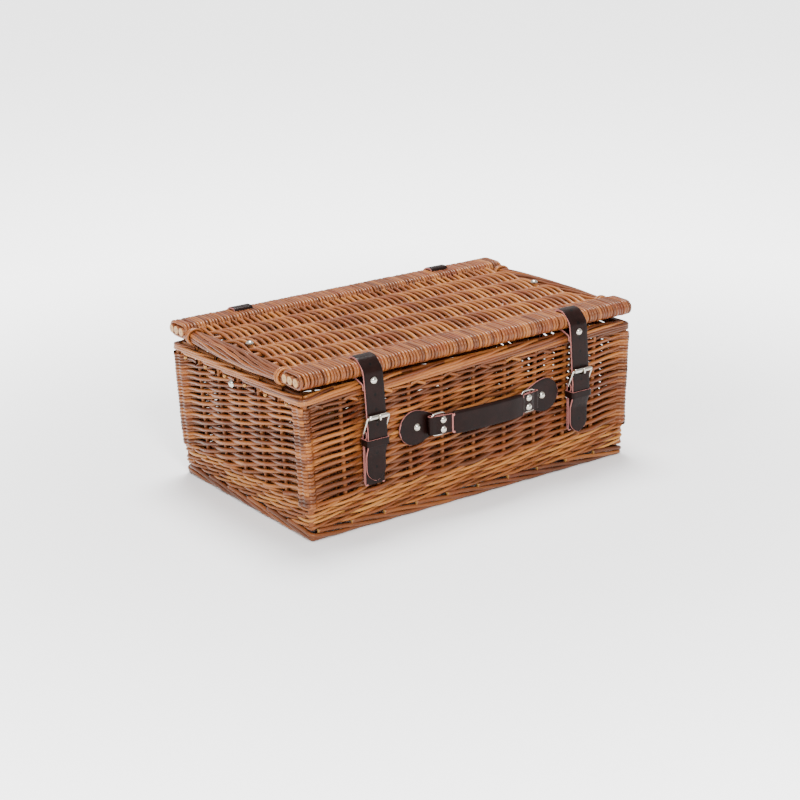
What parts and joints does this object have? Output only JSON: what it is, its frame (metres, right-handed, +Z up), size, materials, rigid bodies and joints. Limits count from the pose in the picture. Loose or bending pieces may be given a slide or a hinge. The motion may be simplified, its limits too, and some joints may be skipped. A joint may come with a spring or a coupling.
{
  "type": "picnic hamper",
  "caption": "Rectangular woven willow hamper with a hinged lid, buckled leather straps, a leather carrying handle and leather hinges.",
  "frame": {"origin": "on the resting surface, under the middle of the whole object's bounding box", "axes": "+X along the length to the viewer's right when facing the handle, -Y towards the handle side, +Z up"},
  "size_m": [0.512, 0.3384, 0.2109],
  "materials": {
    "willow_weave": "steamed willow weavers, satin",
    "willow_rods": "steamed willow rods, satin",
    "leather": "dark brown, semi-gloss, pink cut edges",
    "nickel": "polished nickel plate"
  },
  "bodies": {
    "basket": {"base_weave": "willow_weave", "bottom_wale": "willow_weave", "front_wall_weave": "willow_weave", "rear_wall_weave": "willow_weave", "left_wall_weave": "willow_weave", "right_wall_weave": "willow_weave", "foot_border": "willow_rods", "top_border": "willow_rods", "base_sticks": "willow_rods", "front_stakes": "willow_rods", "rear_stakes": "willow_rods", "left_stakes": "willow_rods", "right_stakes": "willow_rods", "corner_posts_front_left": "willow_rods", "corner_posts_front_right": "willow_rods", "corner_posts_rear_left": "willow_rods", "corner_posts_rear_right": "willow_rods", "wall_studs": "nickel", "handle_studs": "nickel", "hinge_rivets": "nickel", "chape_rivets": "nickel", "hinge_strap_left": "leather", "stay_left": "leather", "buckle_chape_left": "leather", "handle_tab_left": "leather", "hinge_strap_right": "leather", "stay_right": "leather", "buckle_chape_right": "leather", "handle_tab_right": "leather"},
    "lid": {"lid_weave": "willow_weave", "lid_front_wrap": "willow_weave", "lid_rear_wrap": "willow_weave", "lid_sticks": "willow_rods", "lid_front_sticks": "willow_rods", "lid_rear_sticks": "willow_rods", "lid_border_left": "willow_rods", "lid_border_right": "willow_rods", "lid_studs": "nickel", "strap_rivets": "nickel", "strap_loop_left": "leather", "strap_loop_right": "leather"},
    "handle": {"handle_strap": "leather", "handle_grip": "leather", "handle_rivets": "nickel"},
    "strap_tail_left": {"strap_tail_left": "leather"},
    "buckle_left": {"buckle_frame_left": "nickel", "buckle_roller_left": "nickel"},
    "prong_left": {"buckle_prong_left": "nickel"},
    "keeper_left": {"keeper_left": "leather"},
    "ring_left": {"handle_ring_left": "nickel"},
    "strap_tail_right": {"strap_tail_right": "leather"},
    "buckle_right": {"buckle_frame_right": "nickel", "buckle_roller_right": "nickel"},
    "prong_right": {"buckle_prong_right": "nickel"},
    "keeper_right": {"keeper_right": "leather"},
    "ring_right": {"handle_ring_right": "nickel"}
  },
  "joints": [
    {"name": "lid_hinge", "type": "hinge", "parent": "basket", "child": "lid", "pos_m": [0, 0.16725, 0.184], "axis": [-1, 0, 0], "range_deg": [0, 100], "deforming": ["hinge_strap_left", "hinge_strap_right", "stay_left", "stay_right"]},
    {"name": "strap_swing_left", "type": "hinge", "parent": "lid", "child": "strap_tail_left", "pos_m": [-0.1555, -0.14775, 0.188], "axis": [-1, 0, 0], "range_deg": [-90, 0], "deforming": ["strap_tail_left"]},
    {"name": "buckle_turn_left", "type": "hinge", "parent": "basket", "child": "buckle_left", "pos_m": [-0.1555, -0.14959, 0.121], "axis": [1, 0, 0], "range_deg": [0, 50.5]},
    {"name": "prong_turn_left", "type": "hinge", "parent": "basket", "child": "prong_left", "pos_m": [-0.1555, -0.14959, 0.121], "axis": [1, 0, 0], "range_deg": [0, 50.5]},
    {"name": "keeper_slide_left", "type": "slide", "parent": "basket", "child": "keeper_left", "axis": [0, 0, 1], "range_m": [-0.006, 0.0008]},
    {"name": "ring_turn_left", "type": "hinge", "parent": "basket", "child": "ring_left", "pos_m": [-0.0525, -0.15028, 0.111], "axis": [0, 0, 1], "range_deg": [0, 33.2]},
    {"name": "strap_swing_right", "type": "hinge", "parent": "lid", "child": "strap_tail_right", "pos_m": [0.1555, -0.14775, 0.188], "axis": [-1, 0, 0], "range_deg": [-90, 0], "deforming": ["strap_tail_right"]},
    {"name": "buckle_turn_right", "type": "hinge", "parent": "basket", "child": "buckle_right", "pos_m": [0.1555, -0.14953, 0.115], "axis": [1, 0, 0], "range_deg": [0, 50.5]},
    {"name": "prong_turn_right", "type": "hinge", "parent": "basket", "child": "prong_right", "pos_m": [0.1555, -0.14953, 0.115], "axis": [1, 0, 0], "range_deg": [0, 50.5]},
    {"name": "keeper_slide_right", "type": "slide", "parent": "basket", "child": "keeper_right", "axis": [0, 0, 1], "range_m": [-0.006, 0.0008]},
    {"name": "ring_turn_right", "type": "hinge", "parent": "basket", "child": "ring_right", "pos_m": [0.0645, -0.15028, 0.111], "axis": [0, 0, -1], "range_deg": [0, 33.2]},
    {"name": "handle_pull", "type": "slide", "parent": "basket", "child": "handle", "axis": [0, -1, 0], "range_m": [0, 0.012]}
  ],
  "couplings": [
    {"joint": "strap_swing_left", "follows": "lid_hinge", "ratio": -0.9},
    {"joint": "buckle_turn_left", "follows": "lid_hinge", "ratio": 0.5},
    {"joint": "prong_turn_left", "follows": "lid_hinge", "ratio": 0.5},
    {"joint": "ring_turn_left", "follows": "handle_pull", "rad_per_m": 48},
    {"joint": "strap_swing_right", "follows": "lid_hinge", "ratio": -0.9},
    {"joint": "buckle_turn_right", "follows": "lid_hinge", "ratio": 0.5},
    {"joint": "prong_turn_right", "follows": "lid_hinge", "ratio": 0.5},
    {"joint": "ring_turn_right", "follows": "handle_pull", "rad_per_m": 48}
  ]
}
